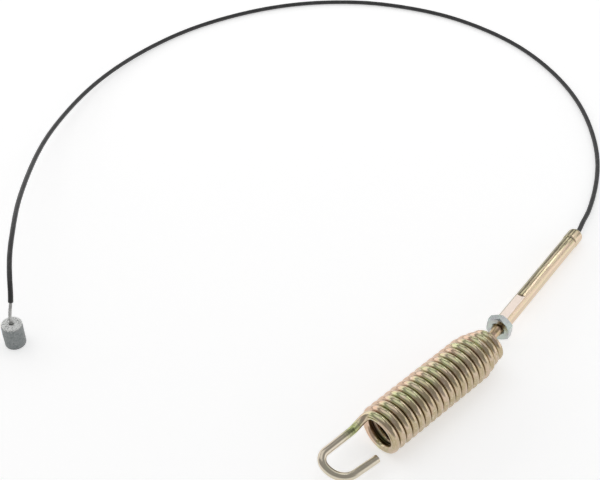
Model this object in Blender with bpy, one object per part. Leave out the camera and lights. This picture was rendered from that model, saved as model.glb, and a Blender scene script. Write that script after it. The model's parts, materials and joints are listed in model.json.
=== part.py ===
"""Auger drive cable: extension spring, swivel bolt, screw adjuster, jacketed wire rope and barrel end.

Units are metres and +Z is up. The spring lies along +X with its hook at the low end,
and the origin is the middle of the underside of everything but the cable itself.
"""

import math

import bmesh
import bpy
import numpy as np
from mathutils import Matrix, Vector

# Extension spring
SPRING_OD = 0.0222
WIRE = 0.0038
COIL_GAP = 0.00008
CONE_GAP = 0.0003
BODY_TURNS = 15.3
CONE_TURNS = 2.6
END_TURNS = 0.75
CONE_END_OD = 0.0168
CONE_FULLNESS = 1.15
STEPS_PER_TURN = 20

# Hook, in a plane through the spring's axis
HOOK_ROLL = math.radians(30)
HOOK_LEAVES = math.radians(42)
HOOK_SETBACK = 0.0098
HOOK_LEAD = 0.0050
HOOK_LEG_OFFSET = 0.0072
HOOK_LEG_END = 0.0245
HOOK_TIGHT_RADIUS = 0.0043
HOOK_WIDE_RADIUS = 0.0103
HOOK_OPENING = math.radians(-4)
HOOK_TAIL = 0.0120

# Swivel bolt, held by its ball head inside the coned end
HEAD_RADIUS = 0.0052
HEAD_BACK = 0.0028
HEAD_SEARCH = 0.020
NECK_DIAMETER = 0.0042
THREAD_DIAMETER = 0.0053
THREAD_END_CHAMFER = 0.0006
BOLT_LENGTH = 0.0600
BOLT_SWING = math.radians(11.8)

# Jam nut
NUT_ACROSS_FLATS = 0.0111
NUT_THICKNESS = 0.0040
NUT_COUNTERSINK = 0.0068
NUT_CHAMFER_START = 0.98
NUT_CHAMFER = math.radians(30)
NUT_TURN = math.radians(30)
NUT_FACE = 0.0174

# Adjuster sleeve
SLEEVE_DIAMETER = 0.0075
SLEEVE_LENGTH = 0.0815
SLEEVE_MOUTH_CHAMFER = 0.0003
COLLAR_DIAMETER = 0.0079
COLLAR_LENGTH = 0.0086
COLLAR_ROUND = 0.0022
COLLAR_GROOVE = 0.0004
COLLAR_SHOULDER = 0.4
FLAT_LENGTH = 0.0200
FLAT_DEPTH = 0.0006
FLAT_TURN = math.radians(170)
STOP_SHOULDER = 0.0100

# Cable
JACKET_DIAMETER = 0.0024
ROPE_DIAMETER = 0.0016
STOP_LENGTH = 0.0080
STOP_CHAMFER = 0.0005
BARE_ROPE = 0.0124
ROPE_IN_BARREL = 0.0060
ROPE_RISE = 0.0030
STRAIGHT_SPACING = 0.0060
JACKET_POINTS = 76
ROPE_POINTS = 9

# Barrel end, standing on its flat end
BARREL_DIAMETER = 0.0095
BARREL_HEIGHT = 0.0127
BARREL_TOP_CHAMFER = 0.0009
BARREL_CHAMFER_BREAK = 0.35
BARREL_FOOT_CHAMFER = 0.0006
BARREL_PLACE = Vector((-0.0769, 0.1566, 0.0))

# Clearance between pieces that touch on the real product
FIT = 0.0003
TABLE_GAP = 0.00005

# How far a cutter runs past the face it cuts
OVERRUN = 0.001

# The cable's way over the table, from the sleeve to the barrel, measured from the hook end of the coils
CABLE_ROUTE = [
    (0.1763, 0.0244, 0.0031),
    (0.1836, 0.0270, 0.0022),
    (0.1912, 0.0302, 0.0016),
    (0.2031, 0.0362, 0.0013),
    (0.2244, 0.0501, 0.0013),
    (0.2434, 0.0682, 0.0013),
    (0.2600, 0.0907, 0.0013),
    (0.2727, 0.1194, 0.0013),
    (0.2787, 0.1513, 0.0013),
    (0.2772, 0.1785, 0.0013),
    (0.2712, 0.2028, 0.0013),
    (0.2612, 0.2243, 0.0013),
    (0.2485, 0.2436, 0.0013),
    (0.2327, 0.2602, 0.0013),
    (0.2145, 0.2743, 0.0013),
    (0.1939, 0.2855, 0.0013),
    (0.1711, 0.2939, 0.0013),
    (0.1463, 0.2993, 0.0014),
    (0.1191, 0.3005, 0.0017),
    (0.0917, 0.2973, 0.0025),
    (0.0630, 0.2886, 0.0044),
    (0.0375, 0.2753, 0.0078),
    (0.0143, 0.2589, 0.0128),
    (-0.0062, 0.2400, 0.0190),
    (-0.0243, 0.2205, 0.0255),
    (-0.0400, 0.2021, 0.0310),
    (-0.0527, 0.1857, 0.0345),
    (-0.0629, 0.1725, 0.0350),
    (-0.0703, 0.1621, 0.0320),
    (-0.0748, 0.1567, 0.0251),
]


def clear_scene():
    for item in list(bpy.data.objects):
        bpy.data.objects.remove(item, do_unlink=True)


def material(name, colour, roughness, metallic):
    mat = bpy.data.materials.new(name)
    mat.use_nodes = True
    shader = mat.node_tree.nodes["Principled BSDF"]
    shader.inputs["Base Color"].default_value = (*colour, 1.0)
    shader.inputs["Roughness"].default_value = roughness
    shader.inputs["Metallic"].default_value = metallic
    return mat


def add_empty(name, parent, matrix):
    empty = bpy.data.objects.new(name, None)
    empty.parent = parent
    empty.matrix_local = matrix
    bpy.context.collection.objects.link(empty)
    return empty


def add_object(name, data, parent, mat=None):
    item = bpy.data.objects.new(name, data)
    item.parent = parent
    if mat:
        data.materials.append(mat)
    bpy.context.collection.objects.link(item)
    return item


def mesh_from(name, bm, sharp_angle=math.radians(35)):
    bmesh.ops.remove_doubles(bm, verts=bm.verts, dist=1e-7)
    bmesh.ops.recalc_face_normals(bm, faces=bm.faces)
    mesh = bpy.data.meshes.new(name)
    bm.to_mesh(mesh)
    bm.free()
    mesh.shade_smooth()
    mesh.set_sharp_from_angle(angle=sharp_angle)
    return mesh


def turned(name, profile, segments, hollow):
    """Spin a profile of (height, radius) pairs about Z; a hollow one is a closed loop."""
    bm = bmesh.new()
    outline = [bm.verts.new((radius, 0.0, height)) for height, radius in profile]
    edges = [bm.edges.new(pair) for pair in zip(outline, outline[1:])]
    if hollow:
        edges.append(bm.edges.new((outline[-1], outline[0])))
    bmesh.ops.spin(bm, geom=outline + edges, cent=(0, 0, 0), axis=(0, 0, 1),
                   angle=2 * math.pi, steps=segments, use_merge=True)
    return mesh_from(name, bm)


def arc(centre, radius, start, end, steps):
    """Points of a quarter or part circle as (height, radius) pairs, angles in degrees."""
    angles = [math.radians(start + (end - start) * k / steps) for k in range(steps + 1)]
    return [(centre[0] + radius * math.cos(a), centre[1] + radius * math.sin(a)) for a in angles]


def hide_cutter(cutter):
    cutter.hide_render = True
    cutter.display_type = "WIRE"


def add_boolean(item, cutter, operation):
    cut = item.modifiers.new(cutter.name, "BOOLEAN")
    cut.operation = operation
    cut.solver = "EXACT"
    cut.object = cutter


def tube_curve(name, points, diameter, sides_setting):
    curve = bpy.data.curves.new(name, "CURVE")
    curve.dimensions = "3D"
    curve.bevel_depth = diameter / 2
    curve.bevel_resolution = sides_setting
    curve.use_fill_caps = True
    spline = curve.splines.new("POLY")
    spline.points.add(len(points) - 1)
    for slot, point in zip(spline.points, points):
        slot.co = (*point, 1.0)
    spline.use_smooth = True
    return curve


def smooth_way(points):
    """A natural cubic spline through the points: where it is after a distance, and how long it is."""
    way = np.array([tuple(p) for p in points])
    run = np.concatenate([[0.0], np.cumsum(np.linalg.norm(np.diff(way, axis=0), axis=1))])
    step = np.diff(run)
    size = len(way)
    system = np.eye(size)
    slope = np.zeros((size, 3))
    for i in range(1, size - 1):
        system[i, i - 1:i + 2] = (step[i - 1], 2 * (step[i - 1] + step[i]), step[i])
        slope[i] = 6 * ((way[i + 1] - way[i]) / step[i] - (way[i] - way[i - 1]) / step[i - 1])
    bend = np.linalg.solve(system, slope)

    def at(distance):
        i = min(max(int(np.searchsorted(run, distance)) - 1, 0), size - 2)
        after = distance - run[i]
        before = run[i + 1] - distance
        cubic = (bend[i] * before ** 3 + bend[i + 1] * after ** 3) / (6 * step[i])
        start = (way[i] / step[i] - bend[i] * step[i] / 6) * before
        end = (way[i + 1] / step[i] - bend[i + 1] * step[i] / 6) * after
        return Vector(cubic + start + end)

    return at, float(run[-1])


# Spring

def coil_radius(turn):
    """Centreline radius after so many turns: straight body, then a cone, then a narrow end coil."""
    body = (SPRING_OD - WIRE) / 2
    end = (CONE_END_OD - WIRE) / 2
    along = min(max((turn - BODY_TURNS) / CONE_TURNS, 0.0), 1.0)
    return body + (end - body) * along ** CONE_FULLNESS


def coil_centreline():
    turns = BODY_TURNS + CONE_TURNS + END_TURNS
    steps = round(turns * STEPS_PER_TURN)
    points = []
    along = 0.0
    last_radius = coil_radius(0.0)
    for k in range(steps + 1):
        turn = k / STEPS_PER_TURN
        radius = coil_radius(turn)
        closing = (last_radius - radius) * STEPS_PER_TURN
        gap = COIL_GAP if turn < BODY_TURNS else CONE_GAP
        pitch = math.sqrt((WIRE + gap) ** 2 - closing ** 2)
        along += pitch / STEPS_PER_TURN if k else 0.0
        angle = HOOK_ROLL + HOOK_LEAVES + 2 * math.pi * turn
        points.append(Vector((along, radius * math.cos(angle), radius * math.sin(angle))))
        last_radius = radius
    return points


def in_hook_plane(back, across):
    return Vector((-back, across * math.cos(HOOK_ROLL), across * math.sin(HOOK_ROLL)))


def hook_outline():
    """The hook from where its leg is straight to its cut end, as (distance back, distance across)."""
    tight_centre = (HOOK_LEG_END, HOOK_LEG_OFFSET - HOOK_TIGHT_RADIUS)
    wide_centre = (HOOK_LEG_END + HOOK_TIGHT_RADIUS - HOOK_WIDE_RADIUS, tight_centre[1])
    outline = [(HOOK_SETBACK + (HOOK_LEG_END - HOOK_SETBACK) * k / 4, HOOK_LEG_OFFSET) for k in range(4)]
    for k in range(9):
        turn = math.radians(90 - 90 * k / 8)
        outline.append((tight_centre[0] + HOOK_TIGHT_RADIUS * math.cos(turn),
                        tight_centre[1] + HOOK_TIGHT_RADIUS * math.sin(turn)))
    sweep = math.pi / 2 + HOOK_OPENING
    for k in range(1, 13):
        turn = -sweep * k / 12
        outline.append((wide_centre[0] + HOOK_WIDE_RADIUS * math.cos(turn),
                        wide_centre[1] + HOOK_WIDE_RADIUS * math.sin(turn)))
    heading = (-math.sin(sweep), -math.cos(sweep))
    last = outline[-1]
    for k in range(1, 5):
        outline.append((last[0] + heading[0] * HOOK_TAIL * k / 4, last[1] + heading[1] * HOOK_TAIL * k / 4))
    return outline


def hook_lead(coil_start, leg_start):
    """A smooth bend that takes the wire from the first coil's tangent to the hook's straight leg."""
    angle = HOOK_ROLL + HOOK_LEAVES
    tangent = Vector((0.0, math.sin(angle), -math.cos(angle)))
    first = coil_start + tangent * HOOK_LEAD
    second = leg_start + Vector((HOOK_LEAD, 0.0, 0.0))
    points = []
    for k in range(1, 10):
        t = k / 10
        points.append(coil_start * (1 - t) ** 3 + first * 3 * t * (1 - t) ** 2
                      + second * 3 * t ** 2 * (1 - t) + leg_start * t ** 3)
    return points


def spring_centreline():
    coil = coil_centreline()
    hook = [in_hook_plane(back, across) for back, across in hook_outline()]
    lead = hook_lead(coil[0], hook[0])
    return list(reversed(hook)) + list(reversed(lead)) + coil


def head_seat(coil):
    """How far along the axis the ball head can go before it meets the narrow end coils."""
    reach = HEAD_RADIUS + WIRE / 2 + FIT
    low = coil[-1].x - HEAD_SEARCH
    high = coil[-1].x
    for _ in range(40):
        middle = (low + high) / 2
        nearest = min((point - Vector((middle, 0.0, 0.0))).length for point in coil)
        if nearest > reach:
            low = middle
        else:
            high = middle
    return low


def make_spring(parent):
    mat = material("yellow chromate steel", (0.50, 0.44, 0.27), 0.28, 1.0)
    curve = tube_curve("extension_spring", spring_centreline(), WIRE, 3)
    return add_object("extension_spring", curve, parent, mat)


# Swivel bolt, nut and sleeve, all turned about the bolt's axis

def bolt_droop():
    """How far the bolt hangs down for the sleeve's collar to lie on the table."""
    reach = sleeve_tip() - COLLAR_ROUND
    radius = COLLAR_DIAMETER / 2 - COLLAR_ROUND
    drop = SPRING_OD / 2 - TABLE_GAP - COLLAR_ROUND
    return math.asin(drop / math.hypot(reach, radius)) - math.atan2(radius, reach)


def make_bolt(parent):
    neck = NECK_DIAMETER / 2
    thread = THREAD_DIAMETER / 2
    thread_start = NUT_FACE + NUT_THICKNESS / 4
    back_angle = math.degrees(math.acos(-HEAD_BACK / HEAD_RADIUS))
    neck_angle = math.degrees(math.asin(neck / HEAD_RADIUS))
    profile = [(-HEAD_BACK, 0.0)]
    profile += arc((0.0, 0.0), HEAD_RADIUS, back_angle, neck_angle, 12)
    profile += [
        (thread_start - (thread - neck), neck),
        (thread_start, thread),
        (BOLT_LENGTH - THREAD_END_CHAMFER, thread),
        (BOLT_LENGTH, thread - THREAD_END_CHAMFER),
        (BOLT_LENGTH, 0.0),
    ]
    mat = material("gold chromate steel", (0.62, 0.50, 0.30), 0.30, 1.0)
    return add_object("swivel_bolt", turned("swivel_bolt", profile, 28, False), parent, mat)


def make_nut(parent):
    corner = NUT_ACROSS_FLATS / 2 / math.cos(math.pi / 6)
    flat = NUT_ACROSS_FLATS / 2
    bore = THREAD_DIAMETER / 2 + FIT
    sink = NUT_COUNTERSINK / 2
    face_edge = flat * NUT_CHAMFER_START
    guide_edge = corner + FIT
    edge_drop = (guide_edge - face_edge) * math.tan(NUT_CHAMFER)
    near = NUT_FACE
    far = NUT_FACE + NUT_THICKNESS

    bm = bmesh.new()
    bmesh.ops.create_cone(bm, cap_ends=True, segments=6, radius1=corner, radius2=corner,
                          depth=NUT_THICKNESS, matrix=Matrix.Rotation(NUT_TURN, 4, "Z"))
    bmesh.ops.translate(bm, verts=bm.verts, vec=(0, 0, (near + far) / 2))
    mat = material("bright zinc steel", (0.62, 0.67, 0.70), 0.30, 1.0)
    nut = add_object("jam_nut", mesh_from("jam_nut", bm), parent, mat)

    envelope_profile = [
        (near, 0.0),
        (near, face_edge),
        (near + edge_drop, guide_edge),
        (far - edge_drop, guide_edge),
        (far, face_edge),
        (far, 0.0),
    ]
    envelope = add_object("nut_chamfer_guide", turned("nut_chamfer_guide", envelope_profile, 48, False), parent)
    hide_cutter(envelope)
    add_boolean(nut, envelope, "INTERSECT")

    bore_profile = [
        (near - OVERRUN, 0.0),
        (near - OVERRUN, sink + OVERRUN),
        (near + sink - bore, bore),
        (far - (sink - bore), bore),
        (far + OVERRUN, sink + OVERRUN),
        (far + OVERRUN, 0.0),
    ]
    drill = add_object("nut_bore_guide", turned("nut_bore_guide", bore_profile, 32, False), parent)
    hide_cutter(drill)
    add_boolean(nut, drill, "DIFFERENCE")
    return nut


def sleeve_start():
    return NUT_FACE + NUT_THICKNESS + FIT


def sleeve_tip():
    return sleeve_start() + SLEEVE_LENGTH


def stop_face():
    """Height of the shoulder inside the sleeve that the cable's stop pulls against."""
    return sleeve_tip() - STOP_SHOULDER


def make_sleeve(parent):
    body = SLEEVE_DIAMETER / 2
    collar = COLLAR_DIAMETER / 2
    bore = THREAD_DIAMETER / 2 + FIT
    hole = JACKET_DIAMETER / 2 + FIT
    start = sleeve_start()
    tip = sleeve_tip()
    neck = tip - COLLAR_LENGTH
    profile = [
        (start, bore + SLEEVE_MOUTH_CHAMFER),
        (start, body - SLEEVE_MOUTH_CHAMFER),
        (start + SLEEVE_MOUTH_CHAMFER, body),
        (neck - 2 * COLLAR_GROOVE, body),
        (neck - COLLAR_GROOVE, body - COLLAR_GROOVE),
        (neck, body - COLLAR_GROOVE),
        (neck + COLLAR_GROOVE, body + (collar - body) * COLLAR_SHOULDER),
        (neck + 4 * COLLAR_GROOVE, collar),
    ]
    profile += arc((tip - COLLAR_ROUND, collar - COLLAR_ROUND), COLLAR_ROUND, 90, 0, 6)
    profile += [
        (tip, hole + SLEEVE_MOUTH_CHAMFER),
        (tip - SLEEVE_MOUTH_CHAMFER, hole),
        (stop_face(), hole),
        (stop_face(), bore),
        (start + SLEEVE_MOUTH_CHAMFER, bore),
    ]
    mat = material("pink chromate steel", (0.66, 0.52, 0.40), 0.32, 1.0)
    sleeve = add_object("adjuster_sleeve", turned("adjuster_sleeve", profile, 32, True), parent, mat)

    for side, name in ((0, "first_flat_guide"), (1, "second_flat_guide")):
        bm = bmesh.new()
        block = Matrix.Diagonal((SLEEVE_DIAMETER, SLEEVE_DIAMETER, FLAT_LENGTH + OVERRUN, 1.0))
        bmesh.ops.create_cube(bm, size=1.0, matrix=block)
        cutter = add_object(name, mesh_from(name, bm), parent)
        turn = Matrix.Rotation(FLAT_TURN + side * math.pi, 4, "Z")
        place = Vector((body - FLAT_DEPTH + SLEEVE_DIAMETER / 2, 0.0, start + (FLAT_LENGTH - OVERRUN) / 2))
        cutter.matrix_local = turn @ Matrix.Translation(place)
        hide_cutter(cutter)
        add_boolean(sleeve, cutter, "DIFFERENCE")
    return sleeve


def make_stop(parent):
    outer = THREAD_DIAMETER / 2
    end = stop_face() - FIT
    profile = [
        (end - STOP_LENGTH, 0.0),
        (end - STOP_LENGTH, outer - STOP_CHAMFER),
        (end - STOP_LENGTH + STOP_CHAMFER, outer),
        (end - STOP_CHAMFER, outer),
        (end, outer - STOP_CHAMFER),
        (end, 0.0),
    ]
    mat = material("plain steel", (0.45, 0.45, 0.46), 0.40, 1.0)
    return add_object("cable_stop", turned("cable_stop", profile, 24, False), parent, mat)


# Cable and barrel

def cable_way(bolt_frame):
    """The cable's line from the stop in the sleeve, over the table, down into the barrel."""
    begin = stop_face() + FIT
    inside = [bolt_frame @ Vector((0.0, 0.0, begin + k * STRAIGHT_SPACING)) for k in range(3)]
    depths = (-ROPE_RISE, 0.0, ROPE_IN_BARREL - FIT)
    in_barrel = [BARREL_PLACE + Vector((0.0, 0.0, BARREL_HEIGHT - depth)) for depth in depths]
    return smooth_way(inside + [Vector(p) for p in CABLE_ROUTE] + in_barrel)


def make_jacket(parent, way, length):
    mat = material("black jacket", (0.025, 0.025, 0.027), 0.45, 0.0)
    end = length - ROPE_IN_BARREL - BARE_ROPE
    points = [way(d) for d in np.linspace(0.0, end, JACKET_POINTS)]
    return add_object("cable_jacket", tube_curve("cable_jacket", points, JACKET_DIAMETER, 2), parent, mat)


def make_rope(parent, way, length):
    mat = material("steel rope", (0.60, 0.60, 0.60), 0.35, 1.0)
    start = length - ROPE_IN_BARREL - BARE_ROPE + FIT
    points = [way(d) for d in np.linspace(start, length, ROPE_POINTS)]
    return add_object("wire_rope", tube_curve("wire_rope", points, ROPE_DIAMETER, 2), parent, mat)


def make_barrel(parent):
    radius = BARREL_DIAMETER / 2
    hole = ROPE_DIAMETER / 2 + FIT
    top = BARREL_HEIGHT
    profile = [
        (0.0, 0.0),
        (0.0, radius - BARREL_FOOT_CHAMFER),
        (BARREL_FOOT_CHAMFER, radius),
        (top - BARREL_TOP_CHAMFER, radius),
        (top - BARREL_TOP_CHAMFER * BARREL_CHAMFER_BREAK, radius - BARREL_TOP_CHAMFER * BARREL_CHAMFER_BREAK),
        (top, radius - BARREL_TOP_CHAMFER),
        (top, hole),
        (top - ROPE_IN_BARREL, hole),
        (top - ROPE_IN_BARREL, 0.0),
    ]
    mat = material("cast zinc", (0.40, 0.42, 0.43), 0.55, 1.0)
    barrel = add_object("barrel_end", turned("barrel_end", profile, 36, False), parent, mat)
    barrel.location = BARREL_PLACE
    return barrel


def centre_under(items, layout):
    """Put the origin in the middle of the underside of the given pieces."""
    bpy.context.view_layer.update()
    graph = bpy.context.evaluated_depsgraph_get()
    points = []
    for item in items:
        ready = item.evaluated_get(graph)
        mesh = ready.to_mesh()
        points += [ready.matrix_world @ vertex.co for vertex in mesh.vertices]
        ready.to_mesh_clear()
    for axis in range(3):
        low = min(point[axis] for point in points)
        high = max(point[axis] for point in points)
        layout.location[axis] = -low if axis == 2 else -(low + high) / 2


def main():
    clear_scene()
    layout = add_empty("layout", None, Matrix.Identity(4))
    lift = Matrix.Translation((0.0, 0.0, SPRING_OD / 2))
    spring_axis = add_empty("spring_axis", layout, lift)
    spring = make_spring(spring_axis)

    pivot = Matrix.Translation((head_seat(coil_centreline()), 0.0, 0.0))
    swing = Matrix.Rotation(BOLT_SWING, 4, "Z") @ Matrix.Rotation(math.pi / 2 + bolt_droop(), 4, "Y")
    bolt_axis = add_empty("bolt_axis", spring_axis, pivot @ swing)
    bolt = make_bolt(bolt_axis)
    nut = make_nut(bolt_axis)
    sleeve = make_sleeve(bolt_axis)
    stop = make_stop(bolt_axis)

    way, length = cable_way(lift @ pivot @ swing)
    make_jacket(layout, way, length)
    make_rope(layout, way, length)
    barrel = make_barrel(layout)
    centre_under([spring, bolt, nut, sleeve, stop, barrel], layout)


main()
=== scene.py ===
"""Auger drive cable: hooked spring, screw adjuster, jacketed wire rope and cast barrel end, on a pale floor."""

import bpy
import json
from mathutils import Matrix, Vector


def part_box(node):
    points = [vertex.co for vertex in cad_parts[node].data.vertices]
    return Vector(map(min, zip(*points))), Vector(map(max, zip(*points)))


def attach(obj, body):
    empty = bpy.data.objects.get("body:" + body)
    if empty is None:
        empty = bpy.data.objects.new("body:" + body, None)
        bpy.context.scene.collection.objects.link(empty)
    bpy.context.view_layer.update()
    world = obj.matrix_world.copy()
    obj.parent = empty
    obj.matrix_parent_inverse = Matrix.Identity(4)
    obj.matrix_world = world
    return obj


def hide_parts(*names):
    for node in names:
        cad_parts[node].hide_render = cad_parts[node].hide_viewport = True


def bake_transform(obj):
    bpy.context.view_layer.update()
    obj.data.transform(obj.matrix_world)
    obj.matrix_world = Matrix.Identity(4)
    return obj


bl_info = {
    "name": "Auger Drive Cable",
    "version": (1, 0, 0),
    "blender": (4, 5, 0),
    "location": "3D Viewport > Sidebar > Drive Cable",
    "description": "Builds a spring-loaded drive cable with its adjuster, rope and barrel end",
    "category": "Add Mesh",
}

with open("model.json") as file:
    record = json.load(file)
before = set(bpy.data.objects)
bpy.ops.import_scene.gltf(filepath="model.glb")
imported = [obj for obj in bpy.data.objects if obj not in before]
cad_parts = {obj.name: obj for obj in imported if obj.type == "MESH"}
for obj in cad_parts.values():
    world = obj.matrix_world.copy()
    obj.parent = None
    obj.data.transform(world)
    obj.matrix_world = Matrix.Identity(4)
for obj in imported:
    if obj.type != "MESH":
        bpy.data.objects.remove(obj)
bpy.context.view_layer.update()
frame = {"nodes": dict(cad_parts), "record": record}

import json
import math

import bmesh
import bpy
import numpy as np
from bpy.props import FloatProperty, FloatVectorProperty, IntProperty, PointerProperty
from mathutils import Matrix, Vector, noise

# The barrel's place in the layout that the route below is measured in
BARREL_PLACE = Vector((-0.0769, 0.1566, 0.0))

# The cable's way over the table, from the sleeve to the barrel, measured from the hook end of the coils
CABLE_ROUTE = [
    (0.1763, 0.0244, 0.0031), (0.1836, 0.0270, 0.0022), (0.1912, 0.0302, 0.0016),
    (0.2031, 0.0362, 0.0013), (0.2244, 0.0501, 0.0013), (0.2434, 0.0682, 0.0013),
    (0.2600, 0.0907, 0.0013), (0.2727, 0.1194, 0.0013), (0.2787, 0.1513, 0.0013),
    (0.2772, 0.1785, 0.0013), (0.2712, 0.2028, 0.0013), (0.2612, 0.2243, 0.0013),
    (0.2485, 0.2436, 0.0013), (0.2327, 0.2602, 0.0013), (0.2145, 0.2743, 0.0013),
    (0.1939, 0.2855, 0.0013), (0.1711, 0.2939, 0.0013), (0.1463, 0.2993, 0.0014),
    (0.1191, 0.3005, 0.0017), (0.0917, 0.2973, 0.0025), (0.0630, 0.2886, 0.0044),
    (0.0375, 0.2753, 0.0078), (0.0143, 0.2589, 0.0128), (-0.0062, 0.2400, 0.0190),
    (-0.0243, 0.2205, 0.0255), (-0.0400, 0.2021, 0.0310), (-0.0527, 0.1857, 0.0345),
    (-0.0629, 0.1725, 0.0350), (-0.0703, 0.1621, 0.0320), (-0.0748, 0.1567, 0.0251),
]

# Clearance between pieces that touch on the real product
FIT = 0.0003

# Strands round the middle strand of the rope, and wires round the middle wire of each strand
AROUND = 6

# Lamps, all aimed at the origin: name, spot, width and height in metres, power in watts
LAMPS = [
    ("key", (0.98, -0.12, 0.72), 0.95, 0.50, 0.95),
    ("tube", (0.95, 0.14, 0.76), 0.34, 0.08, 0.24),
    ("side", (0.82, -0.90, 0.30), 1.10, 0.60, 1.6),
    ("top", (-0.15, 0.30, 1.30), 1.20, 1.40, 2.9),
    ("left", (-0.06, 1.15, 0.44), 2.00, 0.55, 3.3),
    ("back", (0.87, 0.71, 0.62), 0.42, 0.32, 0.50),
]


# Settings that a user can change

def length(name, description, value):
    return FloatProperty(name=name, description=description, default=value, min=0.0,
                         precision=5, subtype="DISTANCE", unit="LENGTH")


def number(name, description, value):
    return FloatProperty(name=name, description=description, default=value)


def angle(name, description, degrees):
    return FloatProperty(name=name, description=description, default=math.radians(degrees), subtype="ANGLE")


def colour(name, description, value):
    return FloatVectorProperty(name=name, description=description, default=value, size=3,
                               min=0.0, max=1.0, subtype="COLOR")


class SpringSettings(bpy.types.PropertyGroup):
    """The one-wire extension spring"""
    outside: length("Outside", "Outside diameter of the coils", 0.0222)
    wire: length("Wire", "Diameter of the wire", 0.0038)
    coil_gap: length("Coil gap", "Daylight between closed coils", 0.00008)
    cone_gap: length("Cone gap", "Daylight between the coils of the cone", 0.0003)
    body_turns: number("Body turns", "Turns of even size", 15.3)
    cone_turns: number("Cone turns", "Turns that close in", 2.6)
    end_turns: number("End turns", "Turns of the narrow end", 0.75)
    cone_end: length("Cone end", "Outside diameter of the narrow end", 0.0168)
    cone_fullness: number("Cone fullness", "How late the cone closes in", 1.15)
    hook_roll: angle("Hook roll", "Turn of the hook's plane about the spring", 30)
    hook_leaves: angle("Hook leaves", "Where the wire leaves the coil, from the hook's plane", 42)
    hook_setback: length("Hook setback", "Where the hook's leg is straight", 0.0098)
    hook_lead: length("Hook lead", "Softness of the bend into the first coil", 0.0050)
    leg_offset: length("Leg offset", "Leg's distance from the spring's axis", 0.0072)
    leg_end: length("Leg end", "Where the leg's bend starts", 0.0245)
    tight_radius: length("Tight radius", "Bend on the leg's side", 0.0043)
    wide_radius: length("Wide radius", "Bend on the open side", 0.0103)
    hook_opening: angle("Hook opening", "How far the tail turns past square", -4)
    tail: length("Tail", "Straight end of the hook", 0.0120)
    steps: IntProperty(name="Steps", description="Points on the wire in each turn", default=44, min=12)
    sides: IntProperty(name="Sides", description="Faces round the wire", default=24, min=8)
    # Painted shade and tint: olive on the crown, gold on the lower flank and rose on the upper flank are
    # painted by side round the spring, for how light falls there
    olive: colour("Olive", "Green film along the crown", (0.60, 0.61, 0.35))
    gold: colour("Gold", "Straw film on the lower flank", (0.50, 0.41, 0.26))
    rose: colour("Rose", "Salmon film on the upper flank", (0.68, 0.48, 0.35))
    blush: colour("Blush", "Pink patches in the film", (0.68, 0.52, 0.41))
    pale: colour("Pale", "Thin film on bare zinc", (0.84, 0.80, 0.66))
    hook: colour("Hook", "Thin grey film on the hook", (0.68, 0.63, 0.52))
    kink: colour("Kink", "Dark green film where the wire was bent", (0.11, 0.14, 0.035))
    lime: colour("Lime", "Yellow-green film beside it", (0.57, 0.64, 0.28))
    # Painted shade between the coils, over film that also pools darker there
    crevice_shade: colour("Crevice", "Dark film between the coils", (0.08, 0.062, 0.03))


class AdjusterSettings(bpy.types.PropertyGroup):
    """Swivel bolt, jam nut and sleeve, along the bolt's axis from the middle of its ball head"""
    head_radius: length("Head", "Radius of the ball head", 0.0052)
    head_back: length("Head back", "Where the ball head is cut flat", 0.0028)
    neck: length("Neck", "Diameter of the neck", 0.0042)
    thread: length("Thread", "Outside diameter of the thread", 0.0053)
    pitch: length("Pitch", "Pitch of the thread", 0.000907)
    thread_depth: length("Thread depth", "Depth of the thread", 0.0004)
    bolt_length: length("Bolt length", "From the ball head to the end of the thread", 0.0600)
    nut_flats: length("Nut", "Across the flats", 0.0111)
    nut_thickness: length("Nut thickness", "Thickness of the nut", 0.0040)
    nut_sink: length("Nut countersink", "Diameter of the countersink", 0.0068)
    nut_face: length("Nut face", "Where the nut starts", 0.0174)
    nut_turn: angle("Nut turn", "Turn of the nut about the bolt", 30)
    sleeve: length("Sleeve", "Outside diameter of the sleeve", 0.0075)
    sleeve_length: length("Sleeve length", "Length of the sleeve", 0.0815)
    collar: length("Collar", "Outside diameter of the collar", 0.0079)
    collar_length: length("Collar length", "From the groove to the tip", 0.0086)
    collar_round: length("Collar round", "Radius of the rounded tip", 0.0022)
    groove: length("Groove", "Depth of the groove before the collar", 0.0004)
    flat_length: length("Flat length", "Length of the wrench flats", 0.0200)
    flat_depth: length("Flat depth", "Depth of the wrench flats", 0.0006)
    flat_turn: angle("Flat turn", "Turn of the wrench flats about the bolt", 170)
    stop_shoulder: length("Stop shoulder", "Depth of the shoulder that the stop pulls against", 0.0100)
    tan: colour("Tan", "Main film of the sleeve", (0.72, 0.56, 0.425))
    # Painted shade: the sleeve's dark olive is painted on one side of the bar, for the shade that falls there
    sleeve_shaded_side: colour("Sleeve olive", "Dark film on the sleeve's far side", (0.25, 0.22, 0.145))
    straw: colour("Straw", "Straw patches on the sleeve", (0.62, 0.58, 0.35))
    blush: colour("Blush", "Thin pale film on the sleeve", (0.88, 0.66, 0.54))
    fresh: colour("Fresh", "Film on the milled flats", (0.96, 0.83, 0.74))
    bolt_gold: colour("Bolt gold", "Shade of the bolt", (0.56, 0.43, 0.25))
    zinc: colour("Zinc", "Bluish shade of the nut", (0.52, 0.59, 0.555))


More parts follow.
